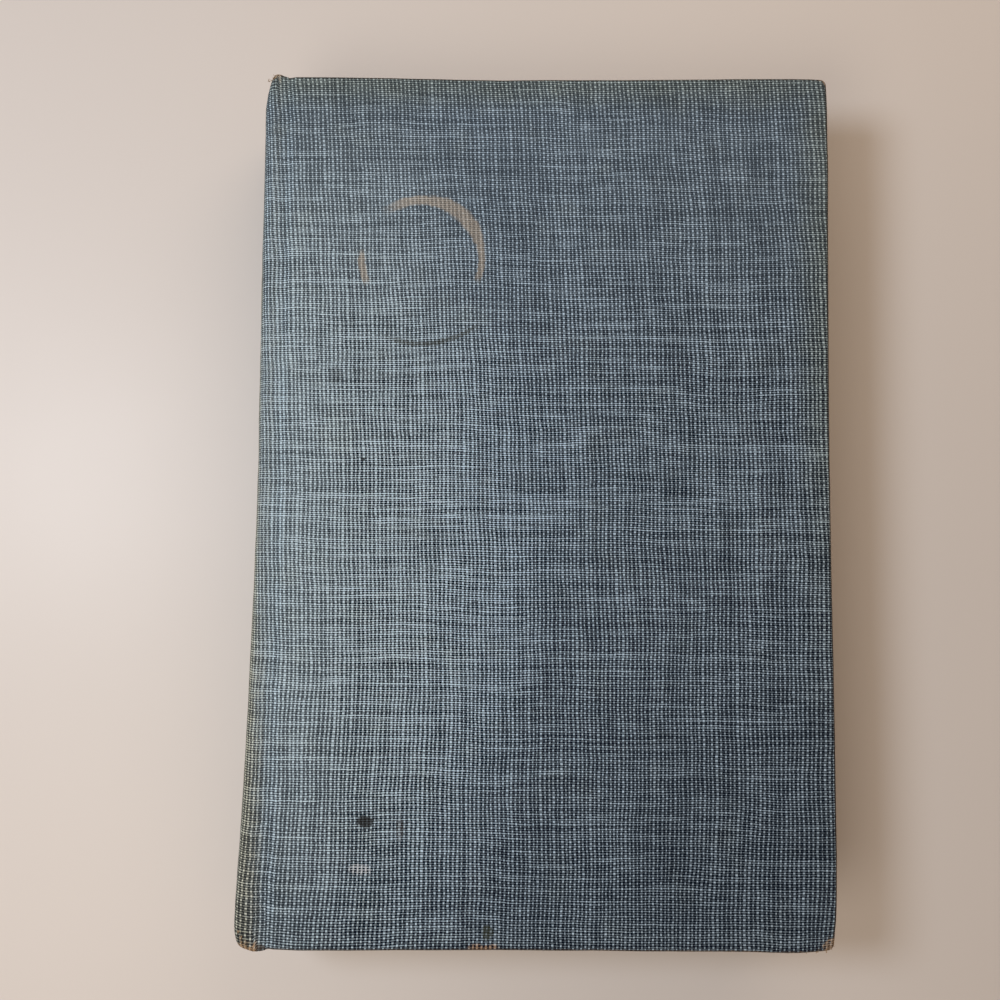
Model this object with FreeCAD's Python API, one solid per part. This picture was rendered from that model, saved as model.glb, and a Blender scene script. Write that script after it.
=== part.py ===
import FreeCAD
import Part
import math
import os

# A cloth-covered hardback book lying shut on its back cover.
# X runs from the spine to the fore edge, Y from tail to head, Z up from the surface it lies on.
# The origin is the middle of the footprint. All sizes are in millimetres.

Vector = FreeCAD.Vector
os.makedirs("parts", exist_ok=True)

# The leaves
leaf_height = 215.0  # head to tail
block_thickness = 24.0  # all the leaves pressed flat
spine_rounding = 2.5  # how far the back of the leaves bows out
fore_edge_hollow = 2.5  # how far the fore edge bows in
shoulder_height = 1.9  # the outer folds, hammered over, stand this proud
shoulder_run = 1.9
endpaper_thickness = 0.2

# The boards
cover_reach = 142.0  # hinge line to fore edge, over the cloth
fore_square = 3.2  # the cover passes the leaves by this at the fore edge
head_square = 3.5  # and by this at head and tail
board_thickness = 2.5
board_corner_radius = 1.6
board_edge_radius = 0.5
joint_gap = 1.4  # hinge line to the board's spine side
bevel_run = 2.2  # the board is pressed down towards the joint over this width

# The cloth
cloth_thickness = 0.45
turn_in_depth = 15.0  # folded over the board's edges and glued inside
groove_depth = 0.5  # the joint's dip, measured from the crest of the spine
groove_half_width = 1.7  # crest of the spine to the hinge line
crest_drop = 0.15  # the crest lies this far under the outer face of the cover
crest_radius = 3.5  # rounding from the crest into the back of the spine
hinge_gap = 0.1  # each side of the hinge line
cap_overhang = 0.6  # the spine's cloth passes the boards at head and tail
cap_corner_radius = 4.5  # the spine's ends are knocked round
cap_lip = 3.0  # the cap curls over the headband by this

# What lines the back of the leaves
mull_thickness = 0.2
mull_end_gap = 1.0  # between the mull and the headband's tape
mull_flange_width = 28.0
lining_thickness = 0.15
lining_margin = 3.5
hollow_gap = 0.2
inlay_thickness = 0.4
headband_radius = 0.9
headband_tape_depth = 12.0
headband_end_angle = 3.0  # degrees that the bead stops short of the shoulder

# What follows from them
wrapped_thickness = board_thickness + 2 * cloth_thickness
cover_thickness = wrapped_thickness + endpaper_thickness
total_thickness = block_thickness + 2 * endpaper_thickness + 2 * cover_thickness
mid_z = total_thickness / 2
leaf_half = leaf_height / 2
cover_half = leaf_half + head_square
cap_half = cover_half + cap_overhang
cap_fold = 2 * cloth_thickness
edge_radius = board_edge_radius + cloth_thickness
flap_drop = groove_depth + crest_drop
mull_half = leaf_half - headband_tape_depth - mull_end_gap
past = 5.0  # how far a cutting block runs past what it cuts

chord_half = block_thickness / 2 + shoulder_height
spine_radius = (chord_half**2 + spine_rounding**2) / (2 * spine_rounding)
tip_angle = math.asin(chord_half / spine_radius)
back_build = mull_thickness + lining_thickness + hollow_gap + 2 * cloth_thickness + inlay_thickness
case_radius = spine_radius + back_build
crest_height = mid_z - crest_drop  # above the middle of the book
crest_centre_height = crest_height - crest_radius
crest_offset = math.sqrt((case_radius - crest_radius) ** 2 - crest_centre_height**2)
blend_angle = math.asin(crest_centre_height / (case_radius - crest_radius))
inlay_angle = blend_angle - 2 * cloth_thickness / case_radius
inlay_wrap_angle = blend_angle - cloth_thickness / case_radius

spine_depth = case_radius - crest_offset + groove_half_width  # outermost point to hinge line
overall_width = spine_depth + cover_reach
spine_x = -overall_width / 2
arc_centre_x = spine_x + case_radius
crest_x = arc_centre_x - crest_offset
hinge_x = spine_x + spine_depth
tip_x = arc_centre_x - spine_radius + spine_rounding
foot_x = tip_x + shoulder_run
leaf_edge_x = hinge_x + cover_reach - fore_square
leaf_top = mid_z + block_thickness / 2
leaf_bottom = mid_z - block_thickness / 2


def line(start, end):
    return Part.LineSegment(start, end).toShape()


def arc(start, middle, end):
    return Part.Arc(start, middle, end).toShape()


def section_point(x, z):
    return Vector(x, 0, z)


def along_y(edges, low, high):
    """The closed outline in XZ, drawn out from y = low to y = high."""
    face = Part.Face(Part.Wire(edges))
    face.translate(Vector(0, low, 0))
    return face.extrude(Vector(0, high - low, 0))


def block(x0, x1, y0, y1, z0, z1):
    return Part.makeBox(x1 - x0, y1 - y0, z1 - z0, Vector(x0, y0, z0))


def ring(inner, outer, half_angle, low, high):
    """A slice of tube round the spine's centre, open towards the leaves."""
    near = [Vector(arc_centre_x - inner * math.cos(a), 0, mid_z + inner * math.sin(a))
            for a in (-half_angle, 0, half_angle)]
    far = [Vector(arc_centre_x - outer * math.cos(a), 0, mid_z + outer * math.sin(a))
           for a in (-half_angle, 0, half_angle)]
    edges = [arc(*near), line(near[2], far[2]), arc(*reversed(far)), line(far[0], near[0])]
    return along_y(edges, low, high)


def wedge(half_angle, low, high):
    """Everything within half_angle of straight back, seen from the spine's centre."""
    reach = case_radius + past
    rise = reach * math.tan(half_angle)
    centre = section_point(arc_centre_x, mid_z)
    upper = section_point(arc_centre_x - reach, mid_z + rise)
    lower = section_point(arc_centre_x - reach, mid_z - rise)
    return along_y([line(centre, upper), line(upper, lower), line(lower, centre)], low, high)


def ramp(x0, z0, x1, z1, inset):
    """Two tangent arcs from one level to another, level at both ends, inset downwards."""
    way = math.copysign(1, x1 - x0)
    rise = math.copysign(1, z1 - z0)
    turn = 2 * math.atan(abs(z1 - z0) / abs(x1 - x0))
    radius = abs(x1 - x0) / (2 * math.sin(turn))
    first = radius + rise * inset
    second = radius - rise * inset

    def leaving(a):
        return section_point(x0 + way * first * math.sin(a), z0 + rise * (radius - first * math.cos(a)))

    def arriving(a):
        return section_point(x1 - way * second * math.sin(a), z1 - rise * (radius - second * math.cos(a)))

    return [arc(leaving(0), leaving(turn / 2), leaving(turn)),
            arc(arriving(turn), arriving(turn / 2), arriving(0))]


def mirrored(shape):
    """The same piece on the back cover's side."""
    return shape.mirror(Vector(0, 0, mid_z), Vector(0, 0, 1))


def page_block():
    """All the sewn leaves, with a rounded back, shoulders and a hollow fore edge."""
    top_foot = section_point(foot_x, leaf_top)
    top_edge = section_point(leaf_edge_x, leaf_top)
    edge_middle = section_point(leaf_edge_x - fore_edge_hollow, mid_z)
    bottom_edge = section_point(leaf_edge_x, leaf_bottom)
    bottom_foot = section_point(foot_x, leaf_bottom)
    bottom_tip = section_point(tip_x, mid_z - chord_half)
    back_middle = section_point(tip_x - spine_rounding, mid_z)
    top_tip = section_point(tip_x, mid_z + chord_half)
    edges = [line(top_foot, top_edge),
             arc(top_edge, edge_middle, bottom_edge),
             line(bottom_edge, bottom_foot),
             line(bottom_foot, bottom_tip),
             arc(bottom_tip, back_middle, top_tip),
             line(top_tip, top_foot)]
    return along_y(edges, -leaf_half, leaf_half)


def flyleaf():
    """The free half of an endpaper, on top of the first leaf."""
    return block(foot_x, leaf_edge_x, -leaf_half, leaf_half, leaf_top, leaf_top + endpaper_thickness)


def headband(end):
    """A woven bead on its tape at one end of the spine: end is 1 at the head, -1 at the tail."""
    bead_y = leaf_half + headband_radius
    bead_path = spine_radius - headband_radius + mull_thickness / 2
    half = tip_angle - math.radians(headband_end_angle)
    centre = Vector(arc_centre_x - bead_path, bead_y, mid_z)
    circle = Part.Wire(Part.makeCircle(headband_radius, centre, Vector(0, 0, 1)))
    axis_point = Vector(arc_centre_x, bead_y, mid_z)
    face = Part.Face(circle)
    face.rotate(axis_point, Vector(0, 1, 0), -math.degrees(half))
    bead = face.revolve(axis_point, Vector(0, 1, 0), 2 * math.degrees(half))
    tape = ring(spine_radius, spine_radius + mull_thickness, half, leaf_half - headband_tape_depth, bead_y)
    band = bead.fuse(tape)
    if end < 0:
        band = band.mirror(Vector(0, 0, 0), Vector(0, 1, 0))
    return band.removeSplitter()


def mull():
    """Open-weave cloth glued to the back of the leaves."""
    return ring(spine_radius, spine_radius + mull_thickness, tip_angle, -mull_half, mull_half)


def spine_lining():
    """Brown paper glued over the mull and the headbands' tapes."""
    inner = spine_radius + mull_thickness
    half = leaf_half - lining_margin
    return ring(inner, inner + lining_thickness, tip_angle, -half, half)


def case_profile(inset, half):
    """The spine of the case from groove to groove, filled, and inset from its outer face."""
    mouth_x = hinge_x - hinge_gap
    groove_z = crest_height - groove_depth
    big = case_radius - inset
    small = crest_radius - inset

    def on_back(angle):
        return section_point(arc_centre_x - big * math.cos(angle), mid_z + big * math.sin(angle))

    def on_crest(angle, side):
        return section_point(crest_x - small * math.cos(angle),
                             mid_z + side * (crest_centre_height + small * math.sin(angle)))

    bend = (blend_angle + math.pi / 2) / 2
    top_ramp = ramp(mouth_x, mid_z + groove_z, crest_x, mid_z + crest_height, inset)
    bottom_ramp = [mirrored(e) for e in reversed(top_ramp)]
    edges = [*top_ramp,
             arc(on_crest(math.pi / 2, 1), on_crest(bend, 1), on_back(blend_angle)),
             arc(on_back(blend_angle), on_back(0), on_back(-blend_angle)),
             arc(on_back(-blend_angle), on_crest(bend, -1), on_crest(math.pi / 2, -1)),
             *bottom_ramp,
             line(section_point(mouth_x, mid_z - groove_z + inset),
                  section_point(mouth_x, mid_z + groove_z - inset))]
    return along_y(edges, -half, half)


def cap_plan(inset, half):
    """The spine seen from above, with its outer corners knocked round."""
    left = spine_x + inset
    right = hinge_x + past
    radius = cap_corner_radius - inset
    slab = block(left, right, -half, half, -past, total_thickness + past)
    corners = [e for e in slab.Edges
               if e.BoundBox.ZLength > total_thickness and abs(e.BoundBox.Center.x - left) < 0.01]
    return slab.makeFillet(radius, corners)


def spine_inside():
    """The space inside the outer layer of the spine's cloth."""
    half = cap_half - cap_fold
    return case_profile(cloth_thickness, half).common(cap_plan(cloth_thickness, half))


def spine_inlay():
    """The strip of card that stiffens the spine of the case."""
    outer = case_radius - cloth_thickness
    half = cap_half - cap_fold
    strip = ring(outer - inlay_thickness, outer, inlay_angle, -half, half)
    return strip.common(spine_inside())


def spine_turn_in():
    """The cloth folded in over the inlay at the head, before the inlay is taken out of it."""
    low = cap_half - turn_in_depth
    high = cap_half - cap_fold
    under_inlay = case_radius - 2 * cloth_thickness - inlay_thickness
    hollow = case_profile(2 * cloth_thickness, cap_half).cut(wedge(inlay_wrap_angle, -cap_half, cap_half))
    hollow = hollow.fuse(ring(past, under_inlay, inlay_wrap_angle, -cap_half, cap_half))
    slab = block(spine_x - past, hinge_x + past, low, high, -past, total_thickness + past)
    return spine_inside().common(slab).cut(hollow)


def spine_cloth():
    """The cloth over the spine, turned in at head and tail, from hinge line to hinge line."""
    outer = case_profile(0, cap_half).common(cap_plan(0, cap_half))
    skin = outer.cut(spine_inside())
    mouth_height = crest_height - groove_depth - cap_fold
    mouth = block(spine_x, hinge_x + past, -cap_half - past, cap_half + past,
                  mid_z - mouth_height, mid_z + mouth_height)
    mouth = mouth.common(ring(past, case_radius - cap_lip, math.pi / 3, -cap_half - past, cap_half + past))
    head = spine_turn_in()
    tail = head.mirror(Vector(0, 0, 0), Vector(0, 1, 0))
    cloth = skin.cut(mouth).fuse([head, tail])
    return cloth.cut(spine_inlay()).removeSplitter()


def cover_slab(inset):
    """A covered board with its turned-in edges, filled, and inset from its outer faces."""
    top = total_thickness
    right = hinge_x + cover_reach - inset
    low = top - wrapped_thickness + inset
    radius = edge_radius - inset
    diagonal = radius * math.sqrt(0.5)
    ramp_start = hinge_x + joint_gap
    ramp_end = ramp_start + bevel_run

    def at(x, z):
        return section_point(x, z)

    upper_arc = arc(at(right - radius, top - inset),
                    at(right - radius + diagonal, top - inset - radius + diagonal),
                    at(right, top - inset - radius))
    lower_arc = arc(at(right, low + radius),
                    at(right - radius + diagonal, low + radius - diagonal),
                    at(right - radius, low))
    flap_top = top - flap_drop
    edges = [*ramp(ramp_start, flap_top, ramp_end, top, inset),
             line(at(ramp_end, top - inset), at(right - radius, top - inset)),
             upper_arc,
             line(at(right, top - inset - radius), at(right, low + radius)),
             lower_arc]
    if inset:
        edges += [line(at(right - radius, low), at(ramp_start, low)),
                  line(at(ramp_start, low), at(ramp_start, flap_top - inset))]
    else:
        flap_x = hinge_x + hinge_gap
        strip_x = ramp_start - cloth_thickness
        flap_low = flap_top - 2 * cloth_thickness
        edges += [line(at(right - radius, low), at(strip_x, low)),
                  line(at(strip_x, low), at(strip_x, flap_low)),
                  line(at(strip_x, flap_low), at(flap_x, flap_low)),
                  line(at(flap_x, flap_low), at(flap_x, flap_top)),
                  line(at(flap_x, flap_top), at(ramp_start, flap_top))]
    half = cover_half - inset
    body = along_y(edges, -half, half)

    side = block(hinge_x - past, right + past, -half, half, low, top - inset)
    long_edges = [e for e in side.Edges if e.BoundBox.XLength > cover_reach]
    body = body.common(side.makeFillet(radius, long_edges))

    plan = block(hinge_x - past, right, -half, half, -past, top + past)
    corners = [e for e in plan.Edges
               if e.BoundBox.ZLength > top and abs(e.BoundBox.Center.x - right) < 0.01]
    return body.common(plan.makeFillet(board_corner_radius + cloth_thickness - inset, corners))


def front_board():
    return cover_slab(cloth_thickness)


def front_cover_cloth():
    """The cloth over the front board, turned in at three edges, with its half of the joint."""
    top = total_thickness
    inner_face = top - wrapped_thickness + cloth_thickness
    window_half = cover_half - turn_in_depth
    window_x = hinge_x + cover_reach - turn_in_depth
    window = block(hinge_x - past, window_x, -window_half, window_half, -past, inner_face)
    joint = block(hinge_x - past, hinge_x + joint_gap, -window_half, window_half,
                  -past, top - flap_drop - cloth_thickness)
    return cover_slab(0).cut(front_board()).cut(window).cut(joint)


def front_mull_flange():
    """The part of the mull that is glued to the inside of the front board."""
    inner_face = total_thickness - wrapped_thickness + cloth_thickness
    left = hinge_x + joint_gap
    return block(left, left + mull_flange_width, -mull_half, mull_half,
                 inner_face - mull_thickness, inner_face)


def front_pastedown():
    """The pasted half of the endpaper, following the steps of the turn-ins and the mull."""
    paper = endpaper_thickness
    inner_face = total_thickness - wrapped_thickness + cloth_thickness
    low = inner_face - cloth_thickness - paper
    left = hinge_x + joint_gap
    sheet = block(left, leaf_edge_x, -leaf_half, leaf_half, low, inner_face)
    window_half = cover_half - turn_in_depth - paper
    window_x = hinge_x + cover_reach - turn_in_depth - paper
    pocket = block(left - past, window_x, -window_half, window_half, low - past, inner_face - paper)
    over_mull = block(left - past, left + mull_flange_width + paper, -mull_half - paper, mull_half + paper,
                      inner_face - mull_thickness - paper, inner_face)
    pocket = pocket.cut(over_mull)
    return sheet.cut(front_cover_cloth()).cut(front_mull_flange()).cut(pocket)


def save(name, shape):
    solids = shape.Solids
    if len(solids) != 1 or not solids[0].isValid():
        raise ValueError(name + " is not one sound solid")
    solids[0].exportStep(os.path.join("parts", name + ".step"))
    print(name, "volume", round(solids[0].Volume), "mm3")


def main():
    save("page_block", page_block())
    save("front_flyleaf", flyleaf())
    save("back_flyleaf", mirrored(flyleaf()))
    save("headband", headband(1))
    save("tailband", headband(-1))
    save("spine_mull", mull())
    save("spine_lining", spine_lining())
    save("spine_inlay", spine_inlay())
    save("spine_cloth", spine_cloth())
    front_side = {"board": front_board(), "cover_cloth": front_cover_cloth(),
                  "mull_flange": front_mull_flange(), "pastedown": front_pastedown()}
    for name, shape in front_side.items():
        save("front_" + name, shape)
        save("back_" + name, mirrored(shape))
    print("overall", round(overall_width, 3), "x", 2 * cap_half, "x", round(total_thickness, 3))
    print("hinge lines at x", round(hinge_x, 4), "z", round(total_thickness, 4), "and 0")


main()
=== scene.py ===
import bmesh
import bpy
import math
import random
from mathutils import Matrix, Vector, noise


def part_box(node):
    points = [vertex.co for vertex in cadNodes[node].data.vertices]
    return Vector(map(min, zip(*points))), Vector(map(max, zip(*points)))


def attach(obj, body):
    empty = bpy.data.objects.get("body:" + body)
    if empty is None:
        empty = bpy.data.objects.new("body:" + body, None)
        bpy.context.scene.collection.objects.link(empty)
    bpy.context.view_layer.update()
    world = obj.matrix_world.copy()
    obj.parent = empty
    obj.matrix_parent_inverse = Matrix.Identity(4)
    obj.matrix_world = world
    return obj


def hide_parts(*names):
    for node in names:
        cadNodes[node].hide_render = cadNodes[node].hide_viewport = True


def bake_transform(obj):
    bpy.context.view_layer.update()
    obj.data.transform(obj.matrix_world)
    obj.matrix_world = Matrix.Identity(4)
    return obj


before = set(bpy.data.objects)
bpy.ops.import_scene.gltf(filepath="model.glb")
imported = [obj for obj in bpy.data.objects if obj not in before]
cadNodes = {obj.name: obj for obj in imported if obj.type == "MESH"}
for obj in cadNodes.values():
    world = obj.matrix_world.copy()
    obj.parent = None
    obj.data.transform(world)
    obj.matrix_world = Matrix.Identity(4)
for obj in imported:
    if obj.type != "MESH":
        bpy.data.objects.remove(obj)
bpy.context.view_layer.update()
print("frame loaded:", len(cadNodes), "nodes")

# measures read from the frame, in metres
coverLow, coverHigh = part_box("front_cover_cloth")
spineLow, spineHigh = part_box("spine_cloth")
blockLow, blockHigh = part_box("page_block")
flyLow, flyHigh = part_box("front_flyleaf")
hingeX = (coverLow.x + spineHigh.x) / 2
topZ = coverHigh.z
midZ = topZ / 2
foreX = coverHigh.x
coverHalf = coverHigh.y
crestZ = spineHigh.z
millimetre = 0.001


def ease(value, low, high):
    t = min(max((value - low) / (high - low), 0.0), 1.0)
    return t * t * (3 - 2 * t)


def lerp(a, b, t):
    return a + (b - a) * t


def linear(*colour):
    # 0 to 255 as seen on a screen, into scene light
    return tuple(((c / 255 + 0.055) / 1.055) ** 2.4 if c > 10 else c / 255 / 12.92 for c in colour)


# small helpers that add one shader node and hand back its output

def plug(tree, socket, value):
    if isinstance(value, bpy.types.NodeSocket):
        tree.links.new(value, socket)
    elif value is not None:
        socket.default_value = value


def calc(tree, operation, a, b=None, c=None):
    node = tree.nodes.new("ShaderNodeMath")
    node.operation = operation
    for socket, value in zip(node.inputs, (a, b, c)):
        plug(tree, socket, value)
    return node.outputs[0]


def addUp(tree, *terms):
    total = terms[0]
    for term in terms[1:]:
        total = calc(tree, "ADD", total, term)
    return total


def times(tree, *terms):
    total = terms[0]
    for term in terms[1:]:
        total = calc(tree, "MULTIPLY", total, term)
    return total


def between(tree, value, low, high, toLow=0.0, toHigh=1.0):
    # a smooth step from toLow at low to toHigh at high
    node = tree.nodes.new("ShaderNodeMapRange")
    node.interpolation_type = "SMOOTHSTEP"
    for socket, entry in zip(node.inputs[:5], (value, low, high, toLow, toHigh)):
        plug(tree, socket, entry)
    return node.outputs[0]


def joined(tree, x, y, z=0.0):
    node = tree.nodes.new("ShaderNodeCombineXYZ")
    for socket, value in zip(node.inputs, (x, y, z)):
        plug(tree, socket, value)
    return node.outputs[0]


def cloudy(tree, vector, scale=1.0, detail=2.0, roughness=0.5):
    node = tree.nodes.new("ShaderNodeTexNoise")
    plug(tree, node.inputs["Vector"], vector)
    node.inputs["Scale"].default_value = scale
    node.inputs["Detail"].default_value = detail
    node.inputs["Roughness"].default_value = roughness
    return node.outputs["Fac"]


def wander(tree, vector, scale, detail, roughness, spread):
    # the same, but to either side of nought
    return times(tree, calc(tree, "SUBTRACT", cloudy(tree, vector, scale, detail, roughness), 0.5), spread)


def hypotenuse(tree, a, b):
    return calc(tree, "SQRT", addUp(tree, times(tree, a, a), times(tree, b, b)))


def fromThread(tree, count):
    # how far from the middle of its thread, as a share of the spacing
    return calc(tree, "ABSOLUTE", calc(tree, "SUBTRACT", calc(tree, "FRACT", count), 0.5))


def lottery(tree, value):
    # the same random number for all of one thread or leaf
    node = tree.nodes.new("ShaderNodeTexWhiteNoise")
    node.noise_dimensions = "1D"
    plug(tree, node.inputs["W"], value)
    return node.outputs["Value"]


def blendColour(tree, factor, a, b, mode="MIX"):
    node = tree.nodes.new("ShaderNodeMix")
    node.data_type = "RGBA"
    node.blend_type = mode
    node.clamp_factor = True
    plug(tree, node.inputs[0], factor)
    for socket, value in ((node.inputs[6], a), (node.inputs[7], b)):
        plug(tree, socket, (*value, 1.0) if isinstance(value, tuple) else value)
    return node.outputs[2]


def tinted(tree, factor, colour, tint):
    return blendColour(tree, factor, colour, blendColour(tree, 1.0, colour, tint, "MULTIPLY"))


def startMaterial(name, roughness, specular=0.3):
    material = bpy.data.materials.new(name)
    material.use_nodes = True
    tree = material.node_tree
    shader = tree.nodes["Principled BSDF"]
    shader.inputs["Roughness"].default_value = roughness
    shader.inputs["Specular IOR Level"].default_value = specular
    return material, tree, shader


def emboss(tree, shader, height, distance, strength=1.0):
    node = tree.nodes.new("ShaderNodeBump")
    node.inputs["Strength"].default_value = strength
    node.inputs["Distance"].default_value = distance
    plug(tree, node.inputs["Height"], height)
    tree.links.new(node.outputs["Normal"], shader.inputs["Normal"])


def objectAxes(tree):
    place = tree.nodes.new("ShaderNodeTexCoord")
    split = tree.nodes.new("ShaderNodeSeparateXYZ")
    tree.links.new(place.outputs["Object"], split.inputs[0])
    return place.outputs["Object"], *split.outputs


# book cloth: u and v of the map "cloth" are millimetres on the flat cloth, u = 0 on the front hinge line

bookCloth = {
    "warpRate": 0.9615,      # upright threads in a millimetre
    "weftRate": 1.776,
    "ground": linear(2, 12, 28),
    "thread": linear(182, 209, 232),
    "contrast": 1.9,
    "coverWidth": (foreX - hingeX) * 1000,
    "coverHalf": coverHalf * 1000,
    "backHinge": -40.0,      # where the back cover's hinge line falls on the flat cloth
    # dark brown of the painted shade line on the rounded edges
    "edgeShadeColour": linear(52, 44, 36),
    "bareThread": linear(172, 146, 116),
    "bump": 0.12 * millimetre,
}

# stains and scuffs: centre and half-size in millimetres, colour, strength
clothMarks = {
    "ring": {"centre": (37.1, 62.3), "radius": 15.5, "colour": linear(170, 162, 148)},
    "faintRing": {"centre": (37.1, 64.3), "radius": 24.3, "colour": linear(52, 52, 40), "strength": 0.48},
    "stains": [
        ((25.4, -80.4), (2.4, 1.6), linear(26, 24, 22), 0.86),
        ((34.1, -82.2), (1.1, 2.9), linear(70, 60, 50), 0.25),
        ((23.15, 10.15), (0.7, 0.7), linear(24, 24, 26), 0.85),
        ((15.4, 31.6), (1.9, 2.6), linear(44, 48, 50), 0.34),
        ((56.0, -106.5), (1.5, 2.0), linear(52, 56, 40), 0.55),
    ],
    "scuffs": [
        ((24.2, -91.9), (3.0, 1.4), linear(190, 200, 210), 0.75),
        ((55.0, -110.2), (4.0, 0.9), linear(176, 140, 102), 0.6),
    ],
}


def spot(tree, u, v, centre, radii, full=0.35, none=1.25):
    # 1 in the middle of an oval stain, 0 outside it
    across = calc(tree, "DIVIDE", calc(tree, "SUBTRACT", u, centre[0]), radii[0])
    along = calc(tree, "DIVIDE", calc(tree, "SUBTRACT", v, centre[1]), radii[1])
    reach = addUp(tree, times(tree, across, across), times(tree, along, along))
    return between(tree, reach, full, none, 1.0, 0.0)


def ringStain(tree, u, v, ring, halfWidth, gates):
    # part of a cup's ring: gates are (from, full, full, to) in degrees, halfWidth is made from the angle
    across = calc(tree, "SUBTRACT", u, ring["centre"][0])
    along = calc(tree, "SUBTRACT", v, ring["centre"][1])
    reach = hypotenuse(tree, across, along)
    angle = calc(tree, "DEGREES", calc(tree, "ARCTAN2", along, across))
    off = calc(tree, "ABSOLUTE", calc(tree, "SUBTRACT", reach, ring["radius"]))
    band = between(tree, calc(tree, "DIVIDE", off, halfWidth(angle)), 0.55, 1.15, 1.0, 0.0)
    total = None
    for start, full, fullTo, end in gates:
        gate = times(tree, between(tree, angle, start, full), between(tree, angle, fullTo, end, 1.0, 0.0))
        total = gate if total is None else calc(tree, "MAXIMUM", total, gate)
    return times(tree, band, total)


def threadCounts(tree, u, v):
    # which thread a point is on, counted both ways: threads lean, crowd and wander a little
    dims = bookCloth
    inFromTail = calc(tree, "MAXIMUM", addUp(tree, times(tree, v, -1.0), -40.0), 0.0)
    lean = addUp(tree, times(tree, v, 0.0209), times(tree, v, v, 0.000189),
                 times(tree, v, between(tree, u, 70.0, 115.0, 0.0145, -0.004)),
                 times(tree, inFromTail, between(tree, u, 25.0, 60.0, 0.03, 0.0)))
    wanderU = wander(tree, joined(tree, u, v), 0.035, 2.0, 0.4, 2.0)
    wanderV = wander(tree, joined(tree, u, v, 40.0), 0.03, 2.0, 0.4, 2.2)
    shakeU = wander(tree, joined(tree, u, v, 52.0), 0.32, 2.0, 0.6, 0.55)
    shakeV = wander(tree, joined(tree, u, v, 64.0), 0.32, 2.0, 0.6, 0.3)
    onFace = calc(tree, "MINIMUM", calc(tree, "MAXIMUM", u, 0.0), dims["coverWidth"])
    onFace = addUp(tree, onFace, -25.0)
    crowdU = times(tree, onFace, onFace, addUp(tree, 0.000417, times(tree, onFace, -3.9e-6)))
    crowdV = times(tree, v, v, addUp(tree, 0.000185, times(tree, v, -2.5e-6)))
    alongWarps = joined(tree, times(tree, u, 0.7), times(tree, v, 0.01), 95.0)
    alongWefts = joined(tree, times(tree, u, 0.01), times(tree, v, 2.1), 88.0)
    gapU = wander(tree, alongWarps, 1.0, 2.0, 0.6, 0.6)
    gapV = wander(tree, alongWefts, 1.0, 2.0, 0.6, 0.7)
    placeU = addUp(tree, u, lean, wanderU, shakeU)
    placeV = addUp(tree, v, wanderV, shakeV)
    return (addUp(tree, times(tree, placeU, dims["warpRate"]), crowdU, gapU),
            addUp(tree, times(tree, placeV, dims["weftRate"]), crowdV, gapV))


def weave(tree, u, v):
    # the height of the cloth from 0 to 1, and how pale its threads are
    threadU, threadV = threadCounts(tree, u, v)
    warpNumber = calc(tree, "FLOOR", threadU)
    weftNumber = calc(tree, "FLOOR", threadV)
    offU = fromThread(tree, threadU)
    offV = fromThread(tree, threadV)

    # each thread has its own weight, and thickens and thins along its length
    warpLuck = lottery(tree, warpNumber)
    weftLuck = lottery(tree, addUp(tree, weftNumber, 0.37))
    alongWarp = joined(tree, times(tree, warpNumber, 7.31), times(tree, v, 0.1))
    alongWeft = joined(tree, times(tree, u, 0.075), times(tree, weftNumber, 5.17), 9.0)
    warpSlub = cloudy(tree, alongWarp, 1.0, 3.0, 0.6)
    weftSlub = cloudy(tree, alongWeft, 1.0, 3.0, 0.55)
    warpHalf = addUp(tree, 0.04, times(tree, warpSlub, 0.22), times(tree, warpLuck, 0.05))
    weftHalf = addUp(tree, 0.02, times(tree, weftSlub, 0.16), times(tree, weftLuck, 0.04))
    warpBand = between(tree, offU, warpHalf, addUp(tree, warpHalf, 0.09), 1.0, 0.0)
    weftBand = between(tree, offV, weftHalf, addUp(tree, weftHalf, 0.11), 1.0, 0.0)

    # plain weave: over and under in turn
    warpOver = calc(tree, "COSINE", times(tree, addUp(tree, threadV, -0.5, warpNumber), math.pi))
    weftUnder = calc(tree, "COSINE", times(tree, addUp(tree, threadU, -0.5, weftNumber), math.pi))
    crossing = calc(tree, "COSINE", times(tree, addUp(tree, threadV, -0.5), 2 * math.pi))
    longPick = addUp(tree, times(tree, weftSlub, 0.9), times(tree, weftLuck, 0.1))
    longPick = between(tree, longPick, 0.36, 0.8)
    warpRise = addUp(tree, 0.62, times(tree, warpOver, 0.3), times(tree, crossing, 0.24))
    weftRise = addUp(tree, 0.44, times(tree, weftUnder, -0.24), times(tree, longPick, 0.34))
    height = calc(tree, "MAXIMUM", times(tree, warpBand, warpRise), times(tree, weftBand, weftRise))
    pale = addUp(tree, times(tree, warpLuck, 0.24), times(tree, warpSlub, 0.6),
                 times(tree, weftLuck, 0.14), times(tree, weftSlub, 0.3))
    return height, pale


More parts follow.
